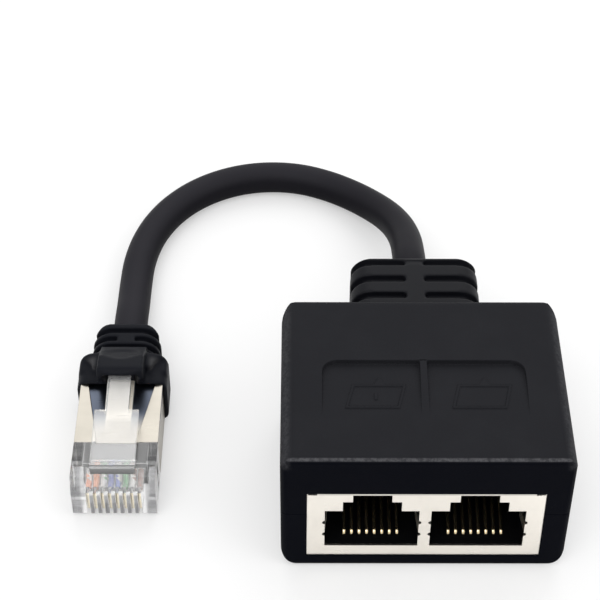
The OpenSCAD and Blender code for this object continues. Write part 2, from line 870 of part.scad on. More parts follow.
module plug_boot() {
    mid_z = rim_h / 2;
    // In its own frame the boot stands on the table, so it is placed without the plug's lift
    color("#1d1e22") translate([plug_place[0], plug_place[1], 0])
        difference() {
            union() {
                // Rim around the plug's rear, and the ribbed part behind it
                along_y(rim_y, rib_start) rounded(rim_w, rim_h, [rim_r, rim_r, rim_top_r, rim_top_r]);
                intersection() {
                    along_y(rib_start - over, boot_rear) rounded(rib_w, rim_h, all_round(rib_r));
                    translate([0, rib_start - over, 0])
                        linear_extrude(rim_h)
                        rounded(rib_w, boot_rear - rib_start + over,
                            [edge_r, edge_r, rib_end_r, rib_end_r]);
                }
                // Ears on the rim, then the tongue over the latch
                difference() {
                    along_y(ear_y, rib_start)
                        rounded(rim_w, rim_h + ear_rise, [rim_r, rim_r, ear_r, ear_r]);
                    for (side = [-1, 1])
                        translate([side * rim_w / 2, ear_y, rim_h])
                            cylinder(r = ear_arch, h = 2 * over + ear_rise);
                }
                intersection() {
                    across_x(hood_w) hood_profile(mid_z);
                    translate([0, hood_tip, 0])
                        linear_extrude(hood_h)
                        rounded(hood_w, hood_back + over - hood_tip,
                            [hood_w / 3, hood_w / 3, edge_r, edge_r]);
                }
            }
            // Seat for the plug, hollow over the crimp, way for the lead and pocket for the lever's end
            slab(0, rim_y - over, boot_wall, [plug_w, rim_hold + over, plug_h]);
            translate([0, 0, boot_wall + plug_mid_z]) {
                along_y(plug_l - over, plug_l + crimp_l) circle(cable_r + crimp_t);
                along_y(plug_l, boot_rear + over) circle(cable_r);
            }
            slab(0, hood_tip - over, rim_h - boot_wall,
                [lever_w + 2 * lever_gap, latch_end + lever_gap - hood_tip + over,
                latch_top + hood_gap - plug_h]);
            for (k = [0:3])
                flex_ring(boot_rear - groove_at[k], rib_w, rim_h, 0, rib_r,
                    groove_sink, groove_w, groove_bridge[k]);
        }
}

// The tongue in side view: it starts in the ribbed part and rises to its lip over the lever's end
module hood_profile(z0) {
    polygon([
        [hood_back + over, z0], [hood_back + over, rim_h], [hood_back, rim_h + ear_rise],
        [ear_y, hood_h - hood_slope], [hood_tip + hood_bevel, hood_h], [hood_tip, hood_h - hood_lip],
        [hood_tip, hood_h - 2 * hood_lip], [rim_y, rim_h], [rim_y, z0]]);
}

upper_shell();
lower_shell();
jack_shield();
jack_housing();
for (s = SIDES) {
    contact_block(s);
    for (i = LANES) jack_contact(s, i);
}
circuit_board();
strain_relief();
cable_jacket();
plug_body();
plug_shield();
plug_load_bar();
for (i = LANES) {
    lead_wire(i);
    plug_contact(i);
    plug_wire(i);
}
plug_boot();
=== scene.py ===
"""Looks of a network splitter adapter: a small housing with two jacks, and one plug on a short lead.

Everything is in metres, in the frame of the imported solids. Lengths are written in millimetres, times MM.
"""

import math

import bmesh
import bpy
import numpy as np
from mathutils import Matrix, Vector

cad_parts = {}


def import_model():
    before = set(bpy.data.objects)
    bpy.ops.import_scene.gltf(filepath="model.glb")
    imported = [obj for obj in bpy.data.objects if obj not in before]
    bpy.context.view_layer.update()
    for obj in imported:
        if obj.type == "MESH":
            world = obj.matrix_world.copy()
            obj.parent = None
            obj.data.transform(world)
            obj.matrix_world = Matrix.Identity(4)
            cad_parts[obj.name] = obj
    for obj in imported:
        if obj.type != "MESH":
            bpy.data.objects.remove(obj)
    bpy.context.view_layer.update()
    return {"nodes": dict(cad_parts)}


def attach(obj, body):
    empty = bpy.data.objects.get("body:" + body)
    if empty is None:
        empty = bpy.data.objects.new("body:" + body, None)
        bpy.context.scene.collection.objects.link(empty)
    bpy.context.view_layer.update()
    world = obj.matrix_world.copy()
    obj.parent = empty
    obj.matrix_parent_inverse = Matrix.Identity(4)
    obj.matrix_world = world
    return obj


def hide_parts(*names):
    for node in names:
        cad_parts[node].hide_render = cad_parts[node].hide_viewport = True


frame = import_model()
MM = 0.001

# Camera and lead

# The photograph joins a view of the housing from 24 degrees above with a view of the lead and plug
# from straight above, so the camera stands between the two.
CAMERA_AIM = Vector((-16.5, 28.4, 8.0)) * MM
CAMERA_RISE = math.radians(44)
CAMERA_TURN = math.radians(0.1)
CAMERA_REACH = 262 * MM
CAMERA_LENS = 105

# Middle line of the lead, from inside the strain relief to inside the plug, as in the solids
LEAD_ROUTE = [
    (0, 11.6, 11), (0, 20, 11), (0, 28, 11), (0, 32.68, 10.69), (0, 37.36, 9.42), (-0.2, 42.04, 7.89),
    (-1, 46.65, 6.37), (-2.54, 51.06, 4.85), (-4.9, 55.09, 3.55), (-8.05, 58.54, 2.78),
    (-11.89, 61.19, 2.5), (-16.25, 62.88, 2.5), (-20.88, 63.47, 2.5), (-25.52, 62.94, 2.5),
    (-29.89, 61.31, 2.5), (-33.77, 58.7, 2.5), (-36.96, 55.29, 2.5), (-39.36, 51.28, 2.5),
    (-40.94, 46.88, 2.5), (-41.77, 42.28, 2.5), (-42, 37.6, 2.52), (-42, 32.92, 2.96), (-42, 28.24, 3.68),
    (-42, 23.4, 3.9), (-42, 19, 3.9), (-42, 6.96, 3.9)]
LEAD_DIA = 5 * MM
# Faces of the housing and of the jack plate, in millimetres like all that follows
HOUSING_FRONT = -15
HOUSING_TOP = 21.7
HOUSING_HALF_W = 19
PLATE_TOP = 15
PORT_MIDDLES = (("left", -6.985), ("right", 6.985))
# Middle of the plug's nose, at the front, and the floor of the trough in its shield
PLUG_TIP = (-42, -6.5)
TROUGH_FLOOR = 6.8
# From one contact or wire to the next, in the jacks and in the plug
LANE_PITCH = 1.016


def place_camera():
    data = bpy.data.cameras.new("camera")
    data.lens = CAMERA_LENS
    data.sensor_width = 36
    data.clip_start, data.clip_end = 0.01, 20
    camera = bpy.data.objects.new("camera", data)
    bpy.context.scene.collection.objects.link(camera)
    flat = math.cos(CAMERA_RISE)
    back = Vector((math.sin(CAMERA_TURN) * flat, -math.cos(CAMERA_TURN) * flat, math.sin(CAMERA_RISE)))
    camera.location = CAMERA_AIM + back * CAMERA_REACH
    camera.rotation_mode = "QUATERNION"
    camera.rotation_quaternion = (-back).to_track_quat("-Z", "Y")
    bpy.context.scene.camera = camera


# Shader values and finishes


class Value:
    """A number, colour or geometry from a node. Arithmetic on it adds Math nodes."""

    def __init__(self, nodes, socket):
        self.nodes, self.socket = nodes, socket

    def op(self, operation, *terms):
        return self.nodes.add("ShaderNodeMath", {"operation": operation}, dict(enumerate(terms)))

    def __add__(self, other):
        return self.op("ADD", self, other)

    def __radd__(self, other):
        return self.op("ADD", other, self)

    def __sub__(self, other):
        return self.op("SUBTRACT", self, other)

    def __rsub__(self, other):
        return self.op("SUBTRACT", other, self)

    def __mul__(self, other):
        return self.op("MULTIPLY", self, other)

    def __rmul__(self, other):
        return self.op("MULTIPLY", other, self)

    def size(self):
        return self.op("ABSOLUTE", self)

    def fraction(self):
        return self.op("FRACT", self)

    def most(self, other):
        return self.op("MAXIMUM", self, other)

    def ramp(self, start, end):
        """0 before start, 1 past end and smooth between them. Start may be the larger one."""
        return self.nodes.add("ShaderNodeMapRange", {"interpolation_type": "SMOOTHSTEP"},
                              {0: self, 1: start, 2: end, 3: 0, 4: 1})


class Nodes:
    """A node tree that is filled one node at a time."""

    def __init__(self, tree):
        self.tree = tree

    def put(self, value, socket):
        if isinstance(value, Value):
            self.tree.links.new(value.socket, socket)
        else:
            socket.default_value = value

    def add(self, kind, settings=None, values=None, out=0):
        """Adds a node: settings are its own properties, and values its inputs, as numbers or links."""
        node = self.tree.nodes.new(kind)
        for key, value in (settings or {}).items():
            setattr(node, key, value)
        for key, value in (values or {}).items():
            self.put(value, node.inputs[key])
        return Value(self, node.outputs[out])


class Finish(Nodes):
    """One material: a Principled shader with fixed settings, and the nodes that vary it."""

    def __init__(self, name, **fixed):
        self.material = bpy.data.materials.new(name)
        self.material.use_nodes = True
        super().__init__(self.material.node_tree)
        self.shader = self.tree.nodes["Principled BSDF"]
        for key, value in fixed.items():
            self.feed(key.replace("_", " "), value)

    def feed(self, socket, value):
        self.put(value, self.shader.inputs[socket])

    def place(self, stretch=(1, 1, 1)):
        """Object coordinates, squeezed along an axis where the stretch is over 1."""
        here = self.add("ShaderNodeTexCoord", out="Object")
        return self.add("ShaderNodeMapping", values={"Vector": here, "Scale": [1 / s for s in stretch]})

    def axes(self):
        """The point's own X, Y and Z in millimetres."""
        here = self.add("ShaderNodeTexCoord", out="Object")
        split = self.add("ShaderNodeSeparateXYZ", values={0: here}).socket.node
        return [Value(self, axis) * (1 / MM) for axis in split.outputs]

    def noise(self, size, detail=2.0, rough=0.5, stretch=(1, 1, 1), shift=0.0):
        """Noise from 0 to 1, with blobs of about that size in millimetres."""
        return self.add("ShaderNodeTexNoise", {"noise_dimensions": "4D"},
                        {"Vector": self.place(stretch), "W": shift, "Scale": 1 / (size * MM),
                         "Detail": detail, "Roughness": rough})

    def blend(self, mask, first, second):
        """Colour mix: the first where the mask is 0."""
        colours = [c if isinstance(c, Value) else (*c, 1) for c in (first, second)]
        return self.add("ShaderNodeMix", {"data_type": "RGBA"},
                        {0: mask, 6: colours[0], 7: colours[1]}, out=2)

    def bump(self, height, depth):
        """A height from 0 to 1 over that depth in millimetres goes into the normal."""
        self.feed("Normal", self.add("ShaderNodeBump", values={"Height": height, "Distance": depth * MM}))


def moulded(name, colour, worn, grain, depth, rough, specular, paler=None):
    """Moulded plastic: fine grain, cloudy gloss and worn specks. Paler gives a mask where the tone is
    lightened as a painted highlight.
    """
    f = Finish(name, Specular_IOR_Level=specular)
    fine = f.noise(grain, 3.0, 0.6)
    cloud = f.noise(grain * 30, 2.0)
    speck = f.noise(grain * 1.3, 1.0, shift=7.0).ramp(0.66, 0.78)
    tone = f.blend(speck * 0.35 + cloud.ramp(0.35, 0.75) * 0.25, colour, worn)
    if paler:
        # Painted highlight: a paler tone where the mask is.
        tone = f.blend(paler(*f.axes()), tone, (0.06, 0.06, 0.063))
    f.feed("Base Color", tone)
    f.feed("Roughness", rough + (cloud - 0.5) * 0.16 + (fine - 0.5) * 0.12)
    f.bump(fine * 0.8 + cloud * 0.2, depth)
    return f


def shell_plastic():
    """The housing's plastic. Its top is lighter, a painted sheen, and its edges carry a painted highlight
    with some rubbed wear, most the front one.
    """
    f = Finish("shell plastic", Specular_IOR_Level=0.02)
    x, y, z = f.axes()
    fine = f.noise(0.2, 3.0, 0.6)
    cloud = f.noise(5, 2.0)
    speck = f.noise(0.26, 1.0, shift=7.0).ramp(0.64, 0.76)
    rub = f.noise(0.45, 4.0, 0.75, shift=3.0)
    behind, below, within = y - HOUSING_FRONT, HOUSING_TOP - z, HOUSING_HALF_W - x.size()
    # Painted highlight with some rubbed wear: the rounded front edge, and less the side edges, are lightened
    # in a grainy band.
    front_edge = behind.ramp(0.6, 0.4) * below.ramp(0.45, 0.32)
    side_edge = within.ramp(1.6, 0.6) * below.ramp(2.3, 1.1) * 0.4
    edge = front_edge.most(side_edge) * (rub.ramp(0.38, 0.62) * 0.75 + 0.25)
    # Painted sheen: the top takes a paler copy of the tone, standing in for the light it catches.
    painted_top_sheen = below.ramp(1.8, 0.8) * behind.ramp(0.02, 0.25)
    mottle = speck * 0.4 + cloud.ramp(0.4, 0.75) * 0.3
    tone = f.blend(painted_top_sheen, f.blend(mottle, (0.0015, 0.0019, 0.0040), (0.0030, 0.0035, 0.0060)),
                   f.blend(mottle, (0.0160, 0.0163, 0.0190), (0.0210, 0.0214, 0.0245)))
    f.feed("Base Color", f.blend(edge, tone, (0.080, 0.080, 0.086)))
    f.feed("Roughness", 0.5 + (cloud - 0.5) * 0.12 + (fine - 0.5) * 0.14 + edge * 0.1)
    f.bump(fine, 0.025)
    return f


def nickel(name, colour):
    """Nickel-plated sheet, warm white, with faint rolling marks. Also gives its own clean tone."""
    f = Finish(name, Metallic=1.0)
    roll = f.noise(0.25, 3.0, stretch=(30, 1, 1))
    stain = f.noise(3.5, 3.0, 0.6, shift=4.0)
    tone = f.blend(stain.ramp(0.45, 0.75) * 0.6, colour, [c * 0.9 for c in colour])
    f.feed("Roughness", 0.3 + (roll - 0.5) * 0.14 + (stain - 0.5) * 0.1)
    f.bump(roll, 0.004)
    return f, tone


def jack_nickel():
    """The jack plate's nickel, darker along the fold at its top edge."""
    f, tone = nickel("nickel sheet", (0.93, 0.885, 0.81))
    below = PLATE_TOP - f.axes()[2]
    f.feed("Base Color", f.blend(below.ramp(0.42, 0.32) * 0.8, tone, (0.62, 0.59, 0.55)))
    return f


def plug_nickel():
    """The plug's nickel, a darker copy of the jack plate's: painted shade against the back lamp's glare. In
    the pressed trough it carries a painted dark blue reflection beside the lever, and a painted pale cream
    light under it, where it is also less metallic.
    """
    f, tone = nickel("plug nickel", (0.47, 0.44, 0.385))
    x, y, z = f.axes()
    aside = (x - PLUG_TIP[0]).size()
    behind, above = y - PLUG_TIP[1], z - TROUGH_FLOOR
    trough = above.ramp(0.15, 0.05) * above.ramp(-0.8, -0.5)
    # Painted reflection: dark blue in the trough beside the lever, where the dark boot would be mirrored.
    beside = trough * aside.ramp(1.7, 1.9) * behind.ramp(8.5, 13.5)
    # Painted light: pale cream and less metallic under the lever, lifting the shade there.
    under = trough * aside.ramp(1.9, 1.7) * behind.ramp(11.0, 13.0)
    tone = f.blend(under, tone, (0.95, 0.89, 0.78))
    f.feed("Base Color", f.blend(beside, tone, (0.10, 0.115, 0.15)))
    f.feed("Metallic", 1 - under * 0.75)
    return f


def gold(name, colour):
    """Gold plating, with fine wiping marks along Y."""
    f = Finish(name, Metallic=1.0)
    wipe = f.noise(0.15, 2.0, stretch=(1, 12, 1))
    f.feed("Base Color", f.blend(wipe.ramp(0.4, 0.7) * 0.5, colour, [c * 0.84 for c in colour]))
    f.feed("Roughness", 0.22 + (wipe - 0.5) * 0.12)
    f.bump(wipe, 0.003)
    return f


def clear_plastic():
    """Clear moulded plastic with faint flow waves. The coat carries its gloss.

    The solid blocks at the nose's sides carry a painted grey reflection, and the ribs between its slots a
    painted grey shade.
    """
    f = Finish("clear plastic", Transmission_Weight=0.84, IOR=1.15, Coat_Weight=1.0, Coat_Roughness=0.05,
               Coat_IOR=1.5)
    x, y, z = f.axes()
    aside = (x - PLUG_TIP[0]).size()
    behind = y - PLUG_TIP[1]
    streak = f.noise(0.5, 2.0, stretch=(8, 1, 4), shift=5.0).ramp(0.35, 0.65)
    # Painted reflection: the solid side blocks turn grey, with a clear strip and a darker band across them.
    block = aside.ramp(4.2, 4.7) * behind.ramp(7.4, 7.2)
    clear_strip = behind.ramp(3.1, 3.3) * behind.ramp(3.9, 3.7)
    dark_band = behind.ramp(3.8, 4.0) * behind.ramp(4.9, 4.6)
    block = block * (1 - clear_strip) * (streak * 0.25 + 0.5 + dark_band * 0.25)
    lane = (x - PLUG_TIP[0]) * (1 / LANE_PITCH) + 0.5
    # Painted shade: grey stripes on the ribs between the slots, low on the nose's front.
    painted_rib_shade = (lane.fraction() - 0.5).size().ramp(0.26, 0.2) * aside.ramp(3.7, 3.5)
    painted_rib_shade = painted_rib_shade * behind.ramp(2.6, 2.2) * z.ramp(4.8, 4.2)
    f.feed("Base Color", f.blend(block.most(painted_rib_shade * 0.8), (1, 1, 1), (0.08, 0.08, 0.09)))
    flow = f.noise(1.6, 2.0, stretch=(1, 2.5, 1))
    fine = f.noise(0.3, 2.0, shift=2.0)
    f.feed("Roughness", 0.03 + fine.ramp(0.55, 0.8) * 0.05)
    f.bump(flow * 0.8 + fine * 0.2, 0.05)
    return f


def frosted():
    f = Finish("load bar plastic", Transmission_Weight=0.3, IOR=1.3, Base_Color=(0.95, 0.95, 0.95, 1))
    fine = f.noise(0.2, 3.0)
    f.feed("Roughness", 0.22 + fine * 0.15)
    f.bump(fine, 0.01)
    return f


def insulation(name, colour, stripe):
    """Wire insulation: one colour, or white that a stripe winds around."""
    f = Finish(name, Coat_Weight=0.3, Coat_Roughness=0.2)
    cloud = f.noise(0.8, 2.0)
    if stripe:
        turn = f.add("ShaderNodeTexWave", {"wave_type": "BANDS", "bands_direction": "DIAGONAL"},
                     {"Vector": f.place(), "Scale": 0.16 / MM, "Distortion": 0.4})
        tone = f.blend(turn.ramp(0.55, 0.7), colour, stripe)
    else:
        tone = f.blend(cloud.ramp(0.4, 0.7) * 0.4, colour, [c * 0.8 for c in colour])
    f.feed("Base Color", tone)
    f.feed("Roughness", 0.34 + (cloud - 0.5) * 0.1)
    f.bump(cloud, 0.01)
    return f


def laminate():
    """Board laminate under green solder mask, with a faint weave."""
    f = Finish("board laminate", Coat_Weight=0.4, Coat_Roughness=0.15)
    weave = f.noise(0.5, 2.0, stretch=(6, 1, 1)) * 0.5 + f.noise(0.5, 2.0, stretch=(1, 1, 6)) * 0.5
    f.feed("Base Color", f.blend(weave.ramp(0.4, 0.6), (0.012, 0.09, 0.03), (0.02, 0.13, 0.045)))
    f.feed("Roughness", 0.4 + (weave - 0.5) * 0.2)
    f.bump(weave, 0.01)
    return f


def lead_jacket():
    """The lead's soft plastic, with a painted sheen along its upper side, weaker beside the housing."""
    f = Finish("lead jacket", Specular_IOR_Level=0.025)
    upper = f.add("ShaderNodeAttribute", {"attribute_name": "upper"}, out="Fac").ramp(0.25, 1.0)
    fine = f.noise(0.3, 3.0, 0.6)
    cloud = f.noise(9, 2.0)
    away = f.axes()[0].ramp(-1, -18) * 0.5 + 0.5
    dark = f.blend(cloud.ramp(0.35, 0.75) * 0.5, (0.0095, 0.0091, 0.0115), (0.0115, 0.0110, 0.0135))
    # Painted sheen: the upper side takes a paler tone, less near the housing.
    f.feed("Base Color", f.blend(upper * (cloud * 0.3 + 0.7) * away, dark, (0.0270, 0.0262, 0.0310)))
    f.feed("Roughness", 0.42 + (cloud - 0.5) * 0.14 + (fine - 0.5) * 0.12)
    f.bump(fine * 0.8 + cloud * 0.2, 0.006)
    return f


def ears(x, y, z):
    """A painted highlight where the boot's ears slope down to the plug on both sides of the tongue."""
    behind = y - PLUG_TIP[1]
    slope = behind.ramp(19.2, 20.2) * behind.ramp(22.4, 21.4)
    return (x - PLUG_TIP[0]).size().ramp(3.5, 4.3) * z.ramp(7.9, 8.3) * slope * 0.8


SHELL = shell_plastic()
NICKEL = jack_nickel()
PLUG_NICKEL = plug_nickel()
GOLD = gold("contact gold", (0.97, 0.80, 0.50))
BLADE_GOLD = gold("blade gold", (0.96, 0.88, 0.70))
CLEAR = clear_plastic()
FROSTED = frosted()
INSERT = moulded("jack plastic", (0.0022, 0.0022, 0.0026), (0.0035, 0.0035, 0.004), grain=0.15, depth=0.01,
                 rough=0.6, specular=0.05)
RELIEF = moulded("relief plastic", (0.005, 0.0053, 0.0075), (0.008, 0.008, 0.0105), grain=0.22, depth=0.02,
                 rough=0.5, specular=0.12)
BOOT = moulded("boot plastic", (0.0080, 0.0087, 0.0120), (0.0115, 0.0125, 0.016), grain=0.22, depth=0.018,
               rough=0.46, specular=0.06, paler=ears)
JACKET = lead_jacket()
BOARD = laminate()
WHITE = (0.86, 0.85, 0.82)
# Lane 1 to 8, seen from the plug's nose with the latch up: colour, and the stripe of a white one
WIRE_TONES = [
    ("wire_white_orange", WHITE, (0.88, 0.22, 0.01)), ("wire_orange", (0.90, 0.25, 0.01), None),
    ("wire_white_green", WHITE, (0.02, 0.38, 0.06)), ("wire_blue", (0.01, 0.06, 0.45), None),
    ("wire_white_blue", WHITE, (0.02, 0.10, 0.55)), ("wire_green", (0.01, 0.33, 0.05), None),
    ("wire_white_brown", WHITE, (0.30, 0.09, 0.03)), ("wire_brown", (0.26, 0.07, 0.02), None)]
WIRES = [insulation(name.replace("_", " "), colour, stripe) for name, colour, stripe in WIRE_TONES]

# Meshes


def link(name, mesh, finish):
    """A finished piece: its mesh on an object at the origin, in the row frame."""
    piece = bpy.data.objects.new(name, mesh)
    bpy.context.scene.collection.objects.link(piece)
    mesh.materials.clear()
    mesh.materials.append(finish.material)
    return piece


def baked(piece):
    """The piece with its modifiers made part of its mesh."""
    graph = bpy.context.evaluated_depsgraph_get()
    mesh = bpy.data.meshes.new_from_object(piece.evaluated_get(graph))
    piece.modifiers.clear()
    old = piece.data
    piece.data = mesh
    bpy.data.meshes.remove(old)
    return piece


def smooth(mesh):
    mesh.shade_smooth()
    mesh.set_sharp_from_angle(angle=math.radians(50))


def solid_copy(node):
    """A CAD node's mesh again, with its points joined."""
    mesh = frame["nodes"][node].data.copy()
    bm = bmesh.new()
    bm.from_mesh(mesh)
    bmesh.ops.remove_doubles(bm, verts=bm.verts, dist=0.002 * MM)
    bm.to_mesh(mesh)
    bm.free()
    mesh.attributes.active_color = None
    return mesh


def softened(name, node, finish, width, clamp=False):
    """A hard piece like its CAD node, with its edges rounded by a small bevel."""
    piece = link(name, solid_copy(node), finish)
    bevel = piece.modifiers.new("bevel", "BEVEL")
    bevel.width, bevel.segments = width * MM, 2
    bevel.limit_method, bevel.angle_limit = "ANGLE", math.radians(30)
    bevel.use_clamp_overlap = clamp
    baked(piece)
    smooth(piece.data)
    weigh = piece.modifiers.new("weigh", "WEIGHTED_NORMAL")
    weigh.keep_sharp, weigh.weight = True, 100
    return baked(piece)


def melted(name, node, finish, voxel, rounds):
    """A soft moulded piece like its CAD node, with every edge and groove rounded."""
    piece = link(name, solid_copy(node), finish)
    remesh = piece.modifiers.new("remesh", "REMESH")
    remesh.mode, remesh.voxel_size, remesh.adaptivity = "VOXEL", voxel * MM, 0
    relax = piece.modifiers.new("relax", "SMOOTH")
    relax.factor, relax.iterations = 0.5, rounds
    baked(piece)
    piece.data.shade_smooth()
    return piece


def reshaped(piece, change):
    """Moves a piece's points. The change takes their X, Y and Z in millimetres and gives new ones."""
    mesh = piece.data
    places = np.empty(len(mesh.vertices) * 3)
    mesh.vertices.foreach_get("co", places)
    moved = np.stack(change(*(places.reshape(-1, 3) / MM).T), axis=1)
    mesh.vertices.foreach_set("co", (moved * MM).ravel())
    mesh.update()
    return piece


def eased(values, start, end):
    """0 up to start, 1 from end on, smooth between them. Start may be the larger one."""
    t = np.clip((values - start) / (end - start), 0, 1)
    return t * t * (3 - 2 * t)


def relaxed(piece, reach, rounds):
    """Smooths the piece's form only where the reach of its points' places is over 0."""
    group = piece.vertex_groups.new(name="reach")
    for v in piece.data.vertices:
        group.add([v.index], float(reach(*np.array(v.co) / MM)), "REPLACE")
    relax = piece.modifiers.new("relax", "SMOOTH")
    relax.factor, relax.iterations, relax.vertex_group = 0.5, rounds, group.name
    return baked(piece)


def dense(points, step):
    """A smooth line through the points, with a point about every step."""
    p = np.array(points, float)
    p = np.vstack([2 * p[0] - p[1], p, 2 * p[-1] - p[-2]])
    line = []
    for a, b, c, d in zip(p, p[1:], p[2:], p[3:]):
        n = max(1, math.ceil(np.linalg.norm(c - b) / step))
        for t in np.arange(n)[:, None] / n:
            line.append(0.5 * (2 * b + (c - a) * t + (2 * a - 5 * b + 4 * c - d) * t**2
                               + (3 * b - a - 3 * c + d) * t**3))
    return np.vstack([*line, p[-2]])


def tube_mesh(name, points, radius, sides):
    """A closed round tube along the points, which never stand upright.

    Its attribute "upper" is 1 along the tube's upper side, 0 at its flanks and -1 below.
    """
    p = np.array(points, float)
    along = np.gradient(p, axis=0)
    along /= np.linalg.norm(along, axis=1)[:, None]
    side = np.cross(along, (0, 0, 1.0))
    side /= np.linalg.norm(side, axis=1)[:, None]
    up = np.cross(side, along)
    turn = 2 * np.pi * np.arange(sides) / sides
    across, above = np.cos(turn)[None, :, None], np.sin(turn)[None, :, None]
    rings = p[:, None] + radius * (across * side[:, None] + above * up[:, None])
    n = len(p)
    faces = []
    for k in range(n - 1):
        for j in range(sides):
            near, far = k * sides, (k + 1) * sides
            beside = (j + 1) % sides
            faces.append((near + j, near + beside, far + beside, far + j))
    faces.append(list(range(sides))[::-1])
    faces.append([(n - 1) * sides + j for j in range(sides)])
    mesh = bpy.data.meshes.new(name)
    mesh.from_pydata((rings.reshape(-1, 3) * MM).tolist(), [], faces)
    upper = mesh.attributes.new("upper", "FLOAT", "POINT")
    upper.data.foreach_set("value", np.tile(np.sin(turn), n).astype(np.float32))
    bm = bmesh.new()
    bm.from_mesh(mesh)
    bmesh.ops.recalc_face_normals(bm, faces=bm.faces)
    bm.to_mesh(mesh)
    bm.free()
    smooth(mesh)
    return mesh


def comb_tree():
    """Geometry nodes: a rounded strip follows the object's line, and is repeated side by side."""
    tree = bpy.data.node_groups.new("strip comb", "GeometryNodeTree")
    face = tree.interface
    face.new_socket("Geometry", in_out="INPUT", socket_type="NodeSocketGeometry")
    for name, kind in (("Width", "Float"), ("Thickness", "Float"), ("Edge radius", "Float"),
                       ("Pitch", "Float"), ("Count", "Int"), ("Material", "Material")):
        face.new_socket(name, in_out="INPUT", socket_type="NodeSocket" + kind)
    face.new_socket("Geometry", in_out="OUTPUT", socket_type="NodeSocketGeometry")
    nodes = Nodes(tree)
    given = {socket.name: Value(nodes, socket) for socket in tree.nodes.new("NodeGroupInput").outputs}
    outline = nodes.add("GeometryNodeCurvePrimitiveQuadrilateral",
                        values={"Width": given["Width"], "Height": given["Thickness"]})
    outline = nodes.add("GeometryNodeFilletCurve", {"mode": "POLY"},
                        {"Curve": outline, "Count": 3, "Radius": given["Edge radius"]})
    line = nodes.add("GeometryNodeMeshToCurve", values={"Mesh": given["Geometry"]})
    strip = nodes.add("GeometryNodeCurveToMesh",
                      values={"Curve": line, "Profile Curve": outline, "Fill Caps": True})
    step = nodes.add("ShaderNodeCombineXYZ", values={"X": given["Pitch"]})
    lanes = nodes.add("GeometryNodeMeshLine", values={"Count": given["Count"], "Offset": step})
    copies = nodes.add("GeometryNodeInstanceOnPoints", values={"Points": lanes, "Instance": strip})
    whole = nodes.add("GeometryNodeRealizeInstances", values={"Geometry": copies})
    dressed = nodes.add("GeometryNodeSetMaterial", values={"Geometry": whole, "Material": given["Material"]})
    nodes.put(dressed, tree.nodes.new("NodeGroupOutput").inputs[0])
    return tree


COMB = comb_tree()


def comb(name, line, centre_x, width, thickness, edge, pitch, count, finish):
    """Strips along a side view, given as (y, z) points in millimetres, repeated along X."""
    mesh = bpy.data.meshes.new(name)
    first_x = centre_x - pitch * (count - 1) / 2
    mesh.from_pydata([(first_x * MM, y * MM, z * MM) for y, z in line],
                     [(k, k + 1) for k in range(len(line) - 1)], [])
    piece = link(name, mesh, finish)
    swept = piece.modifiers.new("comb", "NODES")
    swept.node_group = COMB
    sizes = {"Width": width * MM, "Thickness": thickness * MM, "Edge radius": edge * MM,
             "Pitch": pitch * MM, "Count": count, "Material": finish.material}
    for socket in COMB.interface.items_tree:
        if socket.name in sizes:
            swept[socket.identifier] = sizes[socket.name]
    baked(piece)
    smooth(piece.data)
    return piece


def finish_piece(piece, slot, *nodes):
    """Rides the piece on the part's one body, in the place of its CAD nodes."""
    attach(piece, "root")
    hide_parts(*nodes)
    return piece


# Housing and jacks

place_camera()
finish_piece(softened("top_shell", "upper_shell", SHELL, 0.12), "housing_plastic", "upper_shell")
finish_piece(softened("bottom_shell", "lower_shell", SHELL, 0.12), "housing_plastic", "lower_shell")
finish_piece(softened("jack_plate", "jack_shield", NICKEL, 0.03, clamp=True), "nickel_sheet", "jack_shield")
finish_piece(softened("jack_insert", "jack_housing", INSERT, 0.08), "jack_plastic", "jack_housing")
for side in ("left", "right"):
    finish_piece(softened(side + "_insert_block", side + "_contact_block", INSERT, 0.05),
                 "jack_plastic", side + "_contact_block")


def node_material(node, finish):
    """A CAD node that stays takes this finish."""
    piece = frame["nodes"][node]
    piece.data.materials.clear()
    piece.data.materials.append(finish.material)


def contact_line(tail_z):
    """Side view of a jack contact: run under the port, bend at the front, spring up to the back."""
    tail_y, run_y, run_z = 4.6, -0.8, 3.4
    bend_y, bend_z, bend_r = -12.2, 4.0, 0.6
    free_end = (-4.0, 7.0)
    turns = [math.radians(a) for a in range(-90, -271, -12)]
    bend = [(bend_y + bend_r * math.cos(a), bend_z + bend_r * math.sin(a)) for a in turns]
    return [(tail_y, tail_z), (run_y + tail_z - run_z, tail_z), (run_y, run_z), *bend, free_end]


for side, port_x in PORT_MIDDLES:
    for row, first, tail_z in (("upper", 1, 5.94), ("lower", 2, 3.4)):
        wires = comb(f"{side}_jack_springs_{row}", contact_line(tail_z), port_x + (first - 1.5) * LANE_PITCH,
                     width=0.42, thickness=0.3, edge=0.12, pitch=2 * LANE_PITCH, count=4, finish=GOLD)
        finish_piece(wires, "contact_gold", *[f"{side}_contact_{lane}" for lane in range(first, 9, 2)])
node_material("circuit_board", BOARD)

# Lead, strain relief and plug


